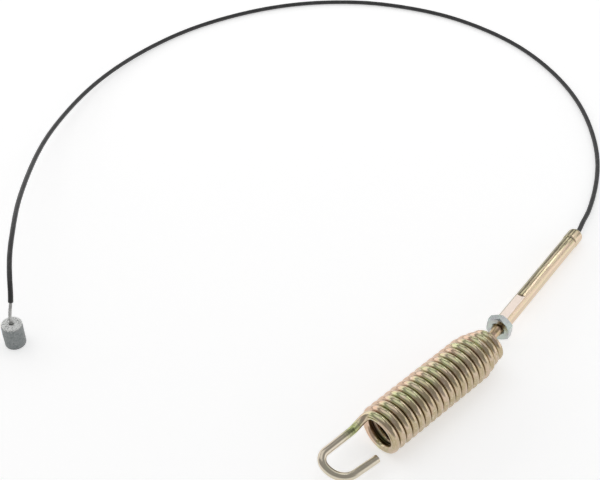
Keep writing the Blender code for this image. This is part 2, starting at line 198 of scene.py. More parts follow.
class CableSettings(bpy.types.PropertyGroup):
    """Jacketed rope and barrel end"""
    jacket: length("Jacket", "Diameter over the jacket", 0.0024)
    rope: length("Rope", "Diameter of the bare rope", 0.0016)
    bare: length("Bare rope", "Length without a jacket", 0.0124)
    in_barrel: length("In barrel", "Length inside the barrel", 0.0060)
    rise: length("Rise", "Height at which the rope is upright over the barrel", 0.0030)
    spacing: length("Spacing", "Distance of the guide points inside the sleeve", 0.0060)
    lay: length("Lay", "Length in which a strand goes round once", 0.0105)
    ripple: length("Ripple", "Height of the strands that show through the jacket", 0.000025)
    barrel: length("Barrel", "Diameter of the barrel", 0.0095)
    barrel_height: length("Barrel height", "Height of the barrel", 0.0127)
    top_chamfer: length("Top chamfer", "Broken edge at the top", 0.0009)
    foot_chamfer: length("Foot chamfer", "Broken edge at the foot", 0.0006)
    black: colour("Black", "Shade of the jacket", (0.03, 0.03, 0.031))
    steel: colour("Steel", "Shade of the rope", (0.62, 0.62, 0.61))
    cast: colour("Cast", "Shade of the cast zinc", (0.30, 0.315, 0.315))


# Frames and ways

def adjuster_frame():
    """Where the bolt's axis stands, with its Z along the bolt and its X downwards."""
    turn = next(j for j in frame["record"]["behaviour"]["joints"] if j["name"] == "sleeve_turn")
    along = Vector(turn["axis"]).normalized()
    side = Vector((0.0, 0.0, 1.0)).cross(along).normalized()
    down = side.cross(along)
    turned = Matrix((down, side, along)).transposed().to_4x4()
    return Matrix.Translation(Vector(turn["pos_m"])) @ turned


def layout_offset():
    low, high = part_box("barrel_end")
    middle = (Vector(low) + Vector(high)) / 2
    return Vector((middle.x, middle.y, low[2])) - BARREL_PLACE


def coil_start(spring):
    return layout_offset() + Vector((0.0, 0.0, spring.outside / 2))


def smooth_way(points):
    """A natural cubic spline through the points: where it is after a distance, and how long it is."""
    way = np.array([tuple(p) for p in points])
    run = np.concatenate([[0.0], np.cumsum(np.linalg.norm(np.diff(way, axis=0), axis=1))])
    step = np.diff(run)
    size = len(way)
    system = np.eye(size)
    slope = np.zeros((size, 3))
    for i in range(1, size - 1):
        system[i, i - 1:i + 2] = (step[i - 1], 2 * (step[i - 1] + step[i]), step[i])
        slope[i] = 6 * ((way[i + 1] - way[i]) / step[i] - (way[i] - way[i - 1]) / step[i - 1])
    bend = np.linalg.solve(system, slope)

    def at(distance):
        i = min(max(int(np.searchsorted(run, distance)) - 1, 0), size - 2)
        after = distance - run[i]
        before = run[i + 1] - distance
        cubic = (bend[i] * before ** 3 + bend[i + 1] * after ** 3) / (6 * step[i])
        start = (way[i] / step[i] - bend[i] * step[i] / 6) * before
        end = (way[i + 1] / step[i] - bend[i + 1] * step[i] / 6) * after
        return Vector(cubic + start + end)

    return at, float(run[-1])


def sleeve_start(part):
    return part.nut_face + part.nut_thickness + FIT


def sleeve_tip(part):
    return sleeve_start(part) + part.sleeve_length


def cable_way(part, cable):
    """The cable's line from the stop in the sleeve, over the table, down into the barrel."""
    place = adjuster_frame()
    begin = sleeve_tip(part) - part.stop_shoulder + FIT
    inside = [place @ Vector((0.0, 0.0, begin + k * cable.spacing)) for k in range(3)]
    offset = layout_offset()
    depths = (-cable.rise, 0.0, cable.in_barrel - FIT)
    in_barrel = [offset + BARREL_PLACE + Vector((0.0, 0.0, cable.barrel_height - depth)) for depth in depths]
    return smooth_way(inside + [offset + Vector(p) for p in CABLE_ROUTE] + in_barrel)


# Mesh helpers

def loose_object(name, data):
    item = bpy.data.objects.new(name, data)
    bpy.context.collection.objects.link(item)
    return item


def add_piece(name, mesh, material, body, node):
    piece = loose_object(name, mesh)
    mesh.materials.append(material)
    if body:
        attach(piece, body)
    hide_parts(node)
    return piece


def shade_smooth(mesh, sharp):
    """Smooth shading, except across edges sharper than this many degrees."""
    mesh.shade_smooth()
    mesh.set_sharp_from_angle(angle=math.radians(sharp))


def finished(name, bm, place=None, sharp=35):
    """Turn a bmesh into a mesh with clean normals, in its place in the shared frame."""
    bmesh.ops.remove_doubles(bm, verts=bm.verts, dist=1e-7)
    bmesh.ops.recalc_face_normals(bm, faces=bm.faces)
    if bm.calc_volume(signed=True) < 0:
        bmesh.ops.reverse_faces(bm, faces=bm.faces)
    if place:
        bmesh.ops.transform(bm, matrix=place, verts=bm.verts)
    mesh = bpy.data.meshes.new(name)
    bm.to_mesh(mesh)
    bm.free()
    shade_smooth(mesh, sharp)
    return mesh


def turned(profile, segments, closed=False):
    """Spin (height, radius) pairs about Z; a closed loop gives a hollow piece."""
    bm = bmesh.new()
    outline = [bm.verts.new((radius, 0.0, height)) for height, radius in profile]
    edges = [bm.edges.new(pair) for pair in zip(outline, outline[1:])]
    if closed:
        edges.append(bm.edges.new((outline[-1], outline[0])))
    bmesh.ops.spin(bm, geom=outline + edges, cent=(0, 0, 0), axis=(0, 0, 1),
                   angle=2 * math.pi, steps=segments, use_merge=True)
    return bm


def arc(centre, radius, start, end, steps):
    angles = [math.radians(start + (end - start) * k / steps) for k in range(steps + 1)]
    return [(centre[0] + radius * math.cos(a), centre[1] + radius * math.sin(a)) for a in angles]


def evenly(start, end, spacing):
    """Points on a straight stretch of a profile, about the spacing apart, without its end."""
    count = max(1, round(math.dist(start, end) / spacing))
    return [tuple(a + (b - a) * k / count for a, b in zip(start, end)) for k in range(count)]


def evaluated(item, name):
    """An object's mesh with its modifiers or its bevel applied."""
    bpy.context.view_layer.update()
    graph = bpy.context.evaluated_depsgraph_get()
    mesh = bpy.data.meshes.new_from_object(item.evaluated_get(graph))
    mesh.name = name
    return mesh


def carved(name, blank, cutters):
    """Apply exact booleans to a blank mesh and return the result, with the cutters removed."""
    body = loose_object(name + "_blank", blank)
    tools = []
    for operation, mesh in cutters:
        tools.append(loose_object(name + "_cutter", mesh))
        cut = body.modifiers.new("cut", "BOOLEAN")
        cut.operation = operation
        cut.solver = "EXACT"
        cut.object = tools[-1]
    mesh = evaluated(body, name)
    for item in tools + [body]:
        bpy.data.objects.remove(item, do_unlink=True)
    return mesh


def swept(name, lines, diameter, sides, radii=None):
    """Round wires along lines of points, as one mesh; the radii are shares of the diameter at each point."""
    curve = bpy.data.curves.new(name, "CURVE")
    curve.dimensions = "3D"
    curve.twist_mode = "MINIMUM"
    curve.bevel_depth = diameter / 2
    curve.bevel_resolution = (sides - 4) // 2
    curve.use_fill_caps = True
    for line in lines:
        spline = curve.splines.new("POLY")
        spline.points.add(len(line) - 1)
        for k, (slot, point) in enumerate(zip(spline.points, line)):
            slot.co = (*point, 1.0)
            slot.radius = 1.0 if radii is None else radii[k]
    item = loose_object(name + "_line", curve)
    mesh = evaluated(item, name)
    bpy.data.objects.remove(item, do_unlink=True)
    shade_smooth(mesh, 50)
    return mesh


def store(mesh, name, values, domain="POINT"):
    """Keep a number or a vector for each point or face of a mesh, for its material."""
    values = np.asarray(values, dtype=np.float32)
    kind, field = ("FLOAT_VECTOR", "vector") if values.ndim == 2 else ("FLOAT", "value")
    mesh.attributes.new(name, kind, domain).data.foreach_set(field, values.ravel())


def mark_along(mesh, points, sides):
    """Give each point of a swept wire its place round the wire and its distance along it."""
    runs = np.cumsum([0.0] + [(b - a).length for a, b in zip(points, points[1:])])
    about = []
    for index in range(len(mesh.vertices)):
        ring = min(index // sides, len(points) - 1)
        turn = 2 * math.pi * (index % sides) / sides
        about.append((math.cos(turn), math.sin(turn), runs[ring]))
    store(mesh, "about", about)
    return runs


# Materials

class Nodes:
    """Short ways to add and join nodes in a tree."""

    def __init__(self, tree):
        self.tree = tree

    def add(self, kind, values=None, **settings):
        node = self.tree.nodes.new(kind)
        for key, value in settings.items():
            setattr(node, key, value)
        for key, value in (values or {}).items():
            self.put(node.inputs[key], value)
        return node

    def put(self, socket, value):
        if isinstance(value, bpy.types.NodeSocket):
            self.tree.links.new(value, socket)
        elif socket.type == "RGBA":
            socket.default_value = (value[0], value[1], value[2], 1.0)
        else:
            socket.default_value = value

    def noise(self, vector, scale, detail=2.0, roughness=0.5, distortion=0.0):
        return self.add("ShaderNodeTexNoise", {"Vector": vector, "Scale": scale, "Detail": detail,
                                               "Roughness": roughness, "Distortion": distortion}).outputs["Fac"]

    def ramp(self, factor, low, high, start=0.0, end=1.0):
        return self.add("ShaderNodeMapRange", {"Value": factor, "From Min": low, "From Max": high,
                                               "To Min": start, "To Max": end}).outputs["Result"]

    def smooth(self, factor, low, high, end=1.0):
        values = {"Value": factor, "From Min": low, "From Max": high, "To Max": end}
        return self.add("ShaderNodeMapRange", values, interpolation_type="SMOOTHSTEP").outputs["Result"]

    def math(self, operation, first, second):
        return self.add("ShaderNodeMath", {0: first, 1: second}, operation=operation).outputs[0]

    def vector_math(self, operation, first, second):
        return self.add("ShaderNodeVectorMath", {0: first, 1: second}, operation=operation).outputs[0]

    def mix(self, factor, first, second):
        """Blend two colours; the sockets are numbered because their names repeat for each data type."""
        return self.add("ShaderNodeMix", {0: factor, 6: first, 7: second}, data_type="RGBA").outputs[2]

    def object_place(self):
        return self.add("ShaderNodeTexCoord").outputs["Object"]

    def stored(self, name, output="Fac"):
        """What the mesh keeps under this name."""
        return self.add("ShaderNodeAttribute", attribute_name=name, attribute_type="GEOMETRY").outputs[output]

    def axis(self, vector, name):
        return self.add("ShaderNodeSeparateXYZ", {0: vector}).outputs[name]

    def group(self, tree, values):
        return self.add("ShaderNodeGroup", values, node_tree=tree).outputs


def new_group(name, inputs, outputs):
    """A shader node group; its sockets are given as {name: type}."""
    group = bpy.data.node_groups.new(name, "ShaderNodeTree")
    for way, sockets in (("INPUT", inputs), ("OUTPUT", outputs)):
        for label, kind in sockets.items():
            group.interface.new_socket(label, in_out=way, socket_type="NodeSocket" + kind)
    given = group.nodes.new("NodeGroupInput").outputs
    out = group.nodes.new("NodeGroupOutput").inputs
    return group, Nodes(group), given, out


def film_and_side_shade():
    """A chromate film with painted shade: one shade on each side of the piece for how light falls there, with
    patches and thin spots that drift along it.
    """
    if "Chromate Film And Side Shade" in bpy.data.node_groups:
        return bpy.data.node_groups["Chromate Film And Side Shade"]
    shades = dict.fromkeys(("Left", "Crown", "Right", "Patch", "Thin"), "Color")
    inputs = {"Place": "Vector", "Side": "Float", "Size": "Float", **shades}
    group, n, given, out = new_group("Chromate Film And Side Shade", inputs, {"Color": "Color", "Grain": "Float"})
    drift = n.noise(given["Place"], given["Size"], 3.0, 0.55, 0.4)
    side = n.math("ADD", given["Side"], n.ramp(drift, 0.3, 0.7, -0.35, 0.35))
    # Painted shade: the Left, Crown and Right shades follow the Side input; where Side is the side of the
    # piece, they stand for how light falls on each side
    shade = n.mix(n.smooth(side, -0.45, 0.05), given["Right"], given["Crown"])
    shade = n.mix(n.smooth(side, 0.15, 0.65), shade, given["Left"])
    moved = n.vector_math("ADD", given["Place"], (3.1, 1.7, 5.3))
    patch = n.noise(moved, n.math("MULTIPLY", given["Size"], 2.6), 3.0, 0.6, 0.5)
    shade = n.mix(n.smooth(patch, 0.42, 0.66, 0.7), shade, given["Patch"])
    fine = n.noise(moved, n.math("MULTIPLY", given["Size"], 9.0), 4.0, 0.65, 0.2)
    shade = n.mix(n.smooth(fine, 0.52, 0.74, 0.6), shade, given["Thin"])
    n.put(out["Color"], shade)
    n.put(out["Grain"], fine)
    return group


def drawn_lines():
    """Fine lines along a drawn wire or a turned bar, as a height."""
    if "Drawn Lines" in bpy.data.node_groups:
        return bpy.data.node_groups["Drawn Lines"]
    inputs = {"Place": "Vector", "Stretch": "Vector"}
    group, n, given, out = new_group("Drawn Lines", inputs, {"Height": "Float"})
    place = n.vector_math("MULTIPLY", given["Place"], given["Stretch"])
    n.put(out["Height"], n.mix(0.4, n.noise(place, 1.0, 2.0, 0.5), n.noise(place, 3.3, 2.0, 0.6)))
    return group


class Material(Nodes):
    """A new material with the inputs of its Principled shader."""

    def __init__(self, name):
        self.made = bpy.data.materials.new(name)
        self.made.use_nodes = True
        super().__init__(self.made.node_tree)
        self.inputs = self.made.node_tree.nodes["Principled BSDF"].inputs

    def surface(self, shade, roughness, metallic=1.0):
        for name, value in (("Base Color", shade), ("Roughness", roughness), ("Metallic", metallic)):
            self.put(self.inputs[name], value)

    def bump(self, height, strength, distance):
        bump = self.add("ShaderNodeBump", {"Height": height, "Strength": strength, "Distance": distance})
        self.put(self.inputs["Normal"], bump.outputs["Normal"])


def spring_material(spring):
    """Film over the coils with painted shade on each side, thinner on the hook, green at its worked bend, and
    painted shade between the coils, where film also pools darker.
    """
    n = Material("Yellow Chromate Wire")
    place = n.stored("film", "Vector")
    # Side is the way round the spring's axis, so the film's side shades are painted shade
    side = n.math("MULTIPLY", n.axis(place, "X"), 2.0)
    film = n.group(film_and_side_shade(), {"Place": place, "Side": side, "Size": 1.7, "Left": spring.rose,
                                     "Crown": spring.olive, "Right": spring.gold,
                                     "Patch": spring.blush, "Thin": spring.pale})
    lines = n.group(drawn_lines(), {"Place": n.stored("about", "Vector"), "Stretch": (3.0, 3.0, 90.0)})
    shade = n.mix(n.math("MULTIPLY", n.stored("bare"), 0.8), film["Color"], spring.hook)
    green = n.mix(n.smooth(film["Grain"], 0.42, 0.58), spring.kink, spring.lime)
    shade = n.mix(n.math("MULTIPLY", n.stored("worked"), 0.9), shade, green)
    # Painted shade in the crevices between the coils, where film also pools darker; it roughens them too
    deep = n.smooth(n.stored("valley"), 0.90, 1.0)
    shade = n.mix(n.math("MULTIPLY", deep, 0.6), shade, spring.crevice_shade)
    gloss = n.ramp(film["Grain"], 0.3, 0.7, 0.12, 0.22)
    n.surface(shade, n.math("ADD", gloss, n.math("MULTIPLY", deep, 0.2)))
    n.bump(lines["Height"], 0.25, 0.00006)
    return n.made


def sleeve_material(part):
    """Film with painted shade on one side of the bar, with turning lines along the bar, and fresh metal with
    milling lines across its flats.
    """
    n = Material("Pink Chromate Bar")
    place = n.stored("film", "Vector")
    milled = n.stored("milled")
    # Side is the way round the sleeve, so its dark side is painted shade
    side = n.math("SUBTRACT", n.axis(place, "X"), 0.08)
    film = n.group(film_and_side_shade(), {"Place": place, "Side": side, "Size": 1.9, "Left": part.sleeve_shaded_side,
                                     "Crown": part.tan, "Right": part.tan,
                                     "Patch": part.straw, "Thin": part.blush})
    lines = n.group(drawn_lines(), {"Place": place, "Stretch": (5.0, 5.0, 60.0)})["Height"]
    mill = n.group(drawn_lines(), {"Place": place, "Stretch": (60.0, 60.0, 4.0)})["Height"]
    roughness = n.mix(milled, n.ramp(film["Grain"], 0.3, 0.7, 0.15, 0.24), n.ramp(mill, 0.3, 0.7, 0.28, 0.42))
    n.surface(n.mix(milled, film["Color"], part.fresh), roughness)
    n.bump(n.mix(milled, lines, mill), 0.2, 0.00005)
    return n.made


def bolt_material(part):
    n = Material("Gold Chromate Bolt")
    place = n.vector_math("MULTIPLY", n.object_place(), (60.0, 60.0, 60.0))
    film = n.group(film_and_side_shade(), {"Place": place, "Side": 0.0, "Size": 2.0, "Left": (0.62, 0.42, 0.30),
                                     "Crown": part.bolt_gold, "Right": (0.34, 0.27, 0.11),
                                     "Patch": (0.66, 0.46, 0.36), "Thin": (0.72, 0.62, 0.44)})
    n.surface(film["Color"], n.ramp(film["Grain"], 0.3, 0.7, 0.22, 0.36))
    return n.made


def zinc_material(part):
    n = Material("Bright Zinc Nut")
    place = n.object_place()
    cloud = n.noise(place, 260.0, 4.0, 0.6)
    shade = n.mix(n.smooth(cloud, 0.35, 0.7), part.zinc, (0.44, 0.43, 0.46))
    n.surface(shade, n.ramp(cloud, 0.3, 0.7, 0.13, 0.24))
    n.bump(n.noise(place, 2600.0, 2.0, 0.5), 0.15, 0.00004)
    return n.made


def jacket_material(cable):
    """Black coating with dust and with scuffs that run along it."""
    n = Material("Black Coated Cable")
    dust = n.noise(n.object_place(), 420.0, 4.0, 0.65)
    along = n.vector_math("MULTIPLY", n.stored("about", "Vector"), (1.2, 1.2, 260.0))
    scuff = n.noise(along, 2.0, 4.0, 0.7)
    shade = n.mix(n.smooth(dust, 0.45, 0.75), cable.black, (0.062, 0.061, 0.062))
    shade = n.mix(n.smooth(scuff, 0.60, 0.72, 0.5), shade, (0.12, 0.12, 0.12))
    n.surface(shade, n.ramp(scuff, 0.3, 0.7, 0.34, 0.52), 0.0)
    n.bump(scuff, 0.3, 0.00005)
    return n.made


def rope_material(cable):
    n = Material("Galvanised Strand")
    cloud = n.noise(n.object_place(), 700.0, 3.0, 0.6)
    shade = n.mix(n.smooth(cloud, 0.35, 0.7), cable.steel, (0.42, 0.42, 0.41))
    n.surface(shade, n.ramp(cloud, 0.3, 0.7, 0.25, 0.42))
    return n.made


def cast_material(cable):
    """Rough cast zinc with dark pores, and a grainier end face where the rope goes in, painted paler and less
    metallic as painted light from above.
    """
    n = Material("Rough Cast Zinc")
    place = n.object_place()
    blotch = n.noise(place, 330.0, 4.0, 0.65, 0.5)
    grain = n.noise(place, 1500.0, 4.0, 0.7)
    pits = n.add("ShaderNodeTexVoronoi", {"Vector": place, "Scale": 1300.0}).outputs["Distance"]
    shade = n.mix(n.smooth(blotch, 0.36, 0.66), cable.cast, (0.25, 0.27, 0.27))
    shade = n.mix(n.smooth(grain, 0.56, 0.72), shade, (0.50, 0.52, 0.52))
    top = cable.barrel_height
    # Painted light: the top end face is painted paler, for the light that falls on it from above
    lit_top_face = n.smooth(n.axis(place, "Z"), top - 0.0009, top - 0.0001)
    shade = n.mix(lit_top_face, shade, n.mix(n.smooth(grain, 0.36, 0.56), (0.55, 0.56, 0.55), (0.97, 0.98, 0.96)))
    shade = n.mix(n.smooth(grain, 0.46, 0.34, 0.7), shade, (0.12, 0.13, 0.13))
    metallic = n.math("SUBTRACT", n.ramp(blotch, 0.3, 0.7, 0.55, 0.85), n.math("MULTIPLY", lit_top_face, 0.5))
    n.surface(shade, n.ramp(grain, 0.3, 0.7, 0.62, 0.44), metallic)
    n.bump(n.mix(0.5, grain, pits), 0.55, 0.00012)
    return n.made


def plain_steel_material():
    n = Material("Plain Swaged Steel")
    cloud = n.noise(n.object_place(), 500.0, 3.0, 0.6)
    shade = n.mix(cloud, (0.34, 0.34, 0.35), (0.50, 0.50, 0.50))
    n.surface(shade, n.ramp(cloud, 0.3, 0.7, 0.35, 0.50))
    return n.made


# Spring

def coil_radius(spring, turn):
    body = (spring.outside - spring.wire) / 2
    end = (spring.cone_end - spring.wire) / 2
    along = min(max((turn - spring.body_turns) / spring.cone_turns, 0.0), 1.0)
    return body + (end - body) * along ** spring.cone_fullness


def coil_centreline(spring):
    turns = spring.body_turns + spring.cone_turns + spring.end_turns
    points = []
    along = 0.0
    last_radius = coil_radius(spring, 0.0)
    for k in range(round(turns * spring.steps) + 1):
        turn = k / spring.steps
        radius = coil_radius(spring, turn)
        closing = (last_radius - radius) * spring.steps
        gap = spring.coil_gap if turn < spring.body_turns else spring.cone_gap
        pitch = math.sqrt((spring.wire + gap) ** 2 - closing ** 2)
        along += pitch / spring.steps if k else 0.0
        swing = spring.hook_roll + spring.hook_leaves + 2 * math.pi * turn
        points.append(Vector((along, radius * math.cos(swing), radius * math.sin(swing))))
        last_radius = radius
    return points


def in_hook_plane(spring, back, across):
    return Vector((-back, across * math.cos(spring.hook_roll), across * math.sin(spring.hook_roll)))


def hook_outline(spring):
    """The hook from where its leg is straight to its cut end, as (distance back, distance across)."""
    leg_steps = 16
    tail_steps = 12
    tight_centre = (spring.leg_end, spring.leg_offset - spring.tight_radius)
    wide_centre = (spring.leg_end + spring.tight_radius - spring.wide_radius, tight_centre[1])
    span = spring.leg_end - spring.hook_setback
    outline = [(spring.hook_setback + span * k / leg_steps, spring.leg_offset) for k in range(leg_steps)]
    outline += arc(tight_centre, spring.tight_radius, 90, 0, 20)
    sweep = math.pi / 2 + spring.hook_opening
    outline += arc(wide_centre, spring.wide_radius, 0, -math.degrees(sweep), 30)[1:]
    back, across = outline[-1]
    for k in range(1, tail_steps + 1):
        run = spring.tail * k / tail_steps
        outline.append((back - math.sin(sweep) * run, across - math.cos(sweep) * run))
    return outline


def hook_lead(spring, coil, leg):
    """A smooth bend that takes the wire from the first coil's tangent to the hook's straight leg."""
    steps = 24
    swing = spring.hook_roll + spring.hook_leaves
    tangent = Vector((0.0, math.sin(swing), -math.cos(swing)))
    first = coil + tangent * spring.hook_lead
    second = leg + Vector((spring.hook_lead, 0.0, 0.0))
    points = []
    for t in (k / steps for k in range(1, steps)):
        u = 1 - t
        points.append(coil * u ** 3 + first * 3 * t * u ** 2 + second * 3 * t ** 2 * u + leg * t ** 3)
    return points


def spring_centreline(spring):
    """The wire from the hook's cut end to the narrow end, and how many points come before the first coil."""
    coil = coil_centreline(spring)
    hook = [in_hook_plane(spring, back, across) for back, across in hook_outline(spring)]
    lead = hook_lead(spring, coil[0], hook[0])
    return hook[::-1] + lead[::-1] + coil, len(hook) + len(lead)


def mark_spring(mesh, points, runs, hook_end, spring):
    """Mark the side round the spring, which picks the painted shade of each side, the film's place, the
    crevices where painted shade goes, the thinly plated hook and its worked bend.
    """
    drift = 0.009
    thin_over = 0.0110
    worked_at = 0.0108
    worked_reach = 0.0042
    marks = {"film": [], "valley": [], "bare": [], "worked": []}
    for index, vertex in enumerate(mesh.vertices):
        ring = min(index // spring.sides, len(points) - 1)
        centre = points[ring]
        x, y, z = vertex.co
        reach = max(math.hypot(y, z), 1e-6)
        marks["film"].append((y / reach / 2, z / reach / 2, x / drift))
        lean = abs(x - centre.x) / (spring.wire / 2)
        inward = reach < math.hypot(centre.y, centre.z)
        first = ring < hook_end + spring.steps and x < centre.x
        last = ring > len(points) - spring.steps and x > centre.x
        # How far into a crevice between coils the point lies, for the painted shade there
        deep = 1.0 if inward and lean > 0.5 else lean
        marks["valley"].append(0.0 if ring < hook_end or first or last else deep)
        before = runs[hook_end] - runs[ring]
        marks["bare"].append(min(max(before / thin_over, 0.0), 1.0))
        marks["worked"].append(math.exp(-((before - worked_at) / worked_reach) ** 2))
    for name, values in marks.items():
        store(mesh, name, values)


# Operators, in the order in which they run

class StageOperator(bpy.types.Operator):
    """Set out the floor, the lamps and the camera"""
    bl_idname = "drive_cable.stage"
    bl_label = "Stage"

    def execute(self, context):
        self.add_camera(context.scene)
        self.add_floor()
        self.add_world(context.scene)
        for lamp in LAMPS:
            self.add_lamp(*lamp)
        context.scene.view_settings.view_transform = "Standard"
        return {"FINISHED"}

    def add_camera(self, scene):
        """The photo's camera, with its place measured from the hook end of the coils."""
        data = bpy.data.cameras.new("view")
        data.sensor_width = 36.0
        data.lens = 71.916
        data.clip_start = 0.01
        data.clip_end = 20.0
        camera = loose_object("view", data)
        spot = layout_offset() + Vector((-0.23707, -0.20247, 0.41352))
        yaw = math.radians(46.47)
        dip = math.radians(43.25)
        look = Vector((math.cos(dip) * math.cos(yaw), math.cos(dip) * math.sin(yaw), -math.sin(dip)))
        self.aim(camera, spot, look)
        scene.camera = camera

    def aim(self, item, spot, look):
        item.matrix_world = Matrix.Translation(spot) @ look.to_track_quat("-Z", "Y").to_matrix().to_4x4()

    def add_floor(self):
        """A matt floor that is as bright in reflections as it looks, and keeps the shadows."""
        bm = bmesh.new()
        bmesh.ops.create_circle(bm, cap_ends=True, segments=96, radius=4.0)
        just_under = (0.0, 0.0, -0.00002)
        bmesh.ops.translate(bm, verts=bm.verts, vec=just_under)
        mesh = finished("floor", bm)
        n = Material("Pale Floor")
        n.surface((0.80, 0.80, 0.80), 0.9, 0.0)
        n.put(n.inputs["Specular IOR Level"], 0.1)
        n.put(n.inputs["Emission Color"], (1.0, 1.0, 1.0))
        rays = n.add("ShaderNodeLightPath").outputs
        mirrored = n.math("ADD", rays["Is Glossy Ray"], rays["Is Transmission Ray"])
        seen = n.math("ADD", rays["Is Camera Ray"], mirrored)
        n.put(n.inputs["Emission Strength"], n.math("MULTIPLY", seen, 0.49))
        mesh.materials.append(n.made)
        floor = loose_object("floor", mesh)

    def add_world(self, scene):
        """A grey room that is paler towards the floor."""
        world = bpy.data.worlds.new("soft room")
        world.use_nodes = True
        n = Nodes(world.node_tree)
        height = n.axis(n.add("ShaderNodeTexCoord").outputs["Generated"], "Z")
        haze = n.smooth(height, 0.28, -0.02)
        background = world.node_tree.nodes["Background"]
        n.put(background.inputs["Color"], n.mix(haze, (0.36, 0.36, 0.36), (0.62, 0.62, 0.62)))
        scene.world = world

    def add_lamp(self, name, spot, width, height, power):
        data = bpy.data.lights.new(name, "AREA")
        data.shape = "RECTANGLE"
        data.size = width
        data.size_y = height
        data.energy = power
        self.aim(loose_object(name, data), Vector(spot), -Vector(spot))


class JacketOperator(bpy.types.Operator):
    """Run the jacketed cable from the sleeve round the table and up to its bare end"""
    bl_idname = "drive_cable.jacket"
    bl_label = "Jacketed Cable"

    def execute(self, context):
        cable = context.scene.drive_cable
        way, total = cable_way(context.scene.drive_adjuster, cable)
        end = total - cable.in_barrel - cable.bare
        count = 900
        sides = 30
        distances = np.linspace(0.0, end, count)
        points = [way(distance) for distance in distances]
        flare = 0.035
        flare_length = 0.0009
        radii = 1.0 + flare * np.exp(-((end - distances) / flare_length) ** 2)
        mesh = swept("cable_jacket_coated", [points], cable.jacket, sides, radii)
        runs = mark_along(mesh, points, sides)
        for index, vertex in enumerate(mesh.vertices):
            ring = min(index // sides, count - 1)
            phase = 2 * math.pi * (AROUND * (index % sides) / sides + runs[ring] / cable.lay)
            outward = (vertex.co - points[ring]).normalized()
            vertex.co += outward * cable.ripple * (math.cos(phase) - 1.0)
        jacket = add_piece("cable_jacket_coated", mesh, jacket_material(cable), "cable", "cable_jacket")
        return {"FINISHED"}


class RopeOperator(bpy.types.Operator):
    """Lay up the bare rope from seven strands of seven wires"""
    bl_idname = "drive_cable.rope"
    bl_label = "Bare Rope"

    def execute(self, context):
        cable = context.scene.drive_cable
        way, total = cable_way(context.scene.drive_adjuster, cable)
        under_jacket = 0.0006
        start = total - cable.in_barrel - cable.bare - under_jacket
        distances = np.linspace(start, total, 84)
        centres = [way(distance) for distance in distances]
        wire = cable.rope / 18
        lines = [self.wire_line(centres, distances - start, cable.lay, wire, s, w)
                 for s in range(AROUND + 1) for w in range(AROUND + 1)]
        pressed = 1.02
        mesh = swept("wire_rope_strands", lines, 2 * wire * pressed, 8)
        rope = add_piece("wire_rope_strands", mesh, rope_material(cable), "cable", "wire_rope")
        return {"FINISHED"}

    def wire_line(self, centres, runs, lay, wire, s, w):
        """One wire's way: round its strand, which goes round the rope the other way."""
        strand_lay = lay * 0.55
        line = []
        side = Vector((1.0, 0.0, 0.0))
        for k, centre in enumerate(centres):
            ahead = (centres[min(k + 1, len(centres) - 1)] - centres[max(k - 1, 0)]).normalized()
            side = (side - ahead * side.dot(ahead)).normalized()
            over = ahead.cross(side)
            big = 2 * math.pi * (s / AROUND + runs[k] / lay)
            small = 2 * math.pi * (w / AROUND - runs[k] / strand_lay)
            point = centre.copy()
            if s < AROUND:
                point += (side * math.cos(big) + over * math.sin(big)) * wire * 6
            if w < AROUND:
                point += (side * math.cos(small) + over * math.sin(small)) * wire * 2
            line.append(point)
        return line


class BarrelOperator(bpy.types.Operator):
    """Cast the barrel end, with its grainy skin, parting line and rope hole"""
    bl_idname = "drive_cable.barrel"
    bl_label = "Barrel End"

    def execute(self, context):
        cable = context.scene.drive_cable
        radius = cable.barrel / 2
        slack = 0.00012
        hole = cable.rope / 2 + slack
        top = cable.barrel_height
        foot = cable.foot_chamfer
        shoulder = top - cable.top_chamfer
        step = 0.00022
        profile = evenly((0.0, 0.0), (0.0, radius - foot), 0.0006)
        profile += arc((foot, radius - foot), foot, 180, 90, 6)
        profile += evenly((foot + step, radius), (shoulder, radius), step)
        profile += arc((shoulder, radius - cable.top_chamfer), cable.top_chamfer, 90, 0, 8)
        rim = 0.00025
        profile += evenly((top, radius - cable.top_chamfer - step), (top, hole + rim), step)
        profile += [(top - 0.16 * rim, hole + 0.48 * rim), (top - rim, hole), (top - cable.in_barrel, hole),
                    (top - cable.in_barrel, 0.0)]
        bm = turned(profile, 132)
        self.roughen(bm, radius)
        place = Matrix.Translation(layout_offset() + BARREL_PLACE)
        mesh = finished("barrel_end_cast", bm, place, 50)
        barrel = add_piece("barrel_end_cast", mesh, cast_material(cable), "cable", "barrel_end")
        return {"FINISHED"}

    def roughen(self, bm, radius):
        """Push the skin in by a fine grain, and raise a faint line where the mould halves met."""
        foot = 0.00005
        hole_edge = 0.0011
        seam_angle = 0.35
        seam_width = 0.00016
        push_in = 0.00012
        bm.normal_update()
        for vertex in bm.verts:
            spot = vertex.co
            if spot.z < foot or math.hypot(spot.x, spot.y) < hole_edge:
                continue
            grain = noise.noise(spot * 900.0) * 0.00006 + noise.noise(spot * 2300.0) * 0.00005
            swell = noise.noise(spot * 190.0) * 0.00008
            off_seam = math.remainder(math.atan2(spot.y, spot.x) - seam_angle, math.pi) * radius
            seam = math.exp(-(off_seam / seam_width) ** 2) * 0.00008
            vertex.co += vertex.normal * (grain + swell + seam - push_in)


class SpringOperator(bpy.types.Operator):
    """Wind the spring from one wire, with its hook and its coned end"""
    bl_idname = "drive_cable.spring"
    bl_label = "Extension Spring"

    def execute(self, context):
        spring = context.scene.drive_spring
        line, first_coil = spring_centreline(spring)
        start = coil_start(spring)
        line.insert(1, line[0].lerp(line[1], 0.12))
        cut_end = [0.90]
        radii = cut_end + [1.0] * (len(line) - 2) + cut_end
        mesh = swept("extension_spring_wire", [line], spring.wire, spring.sides, radii)
        runs = mark_along(mesh, line, spring.sides)
        mark_spring(mesh, line, runs, first_coil + 1, spring)
        mesh.transform(Matrix.Translation(start))
        wire = add_piece("extension_spring_wire", mesh, spring_material(spring), None, "extension_spring")
        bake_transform(wire)
        return {"FINISHED"}


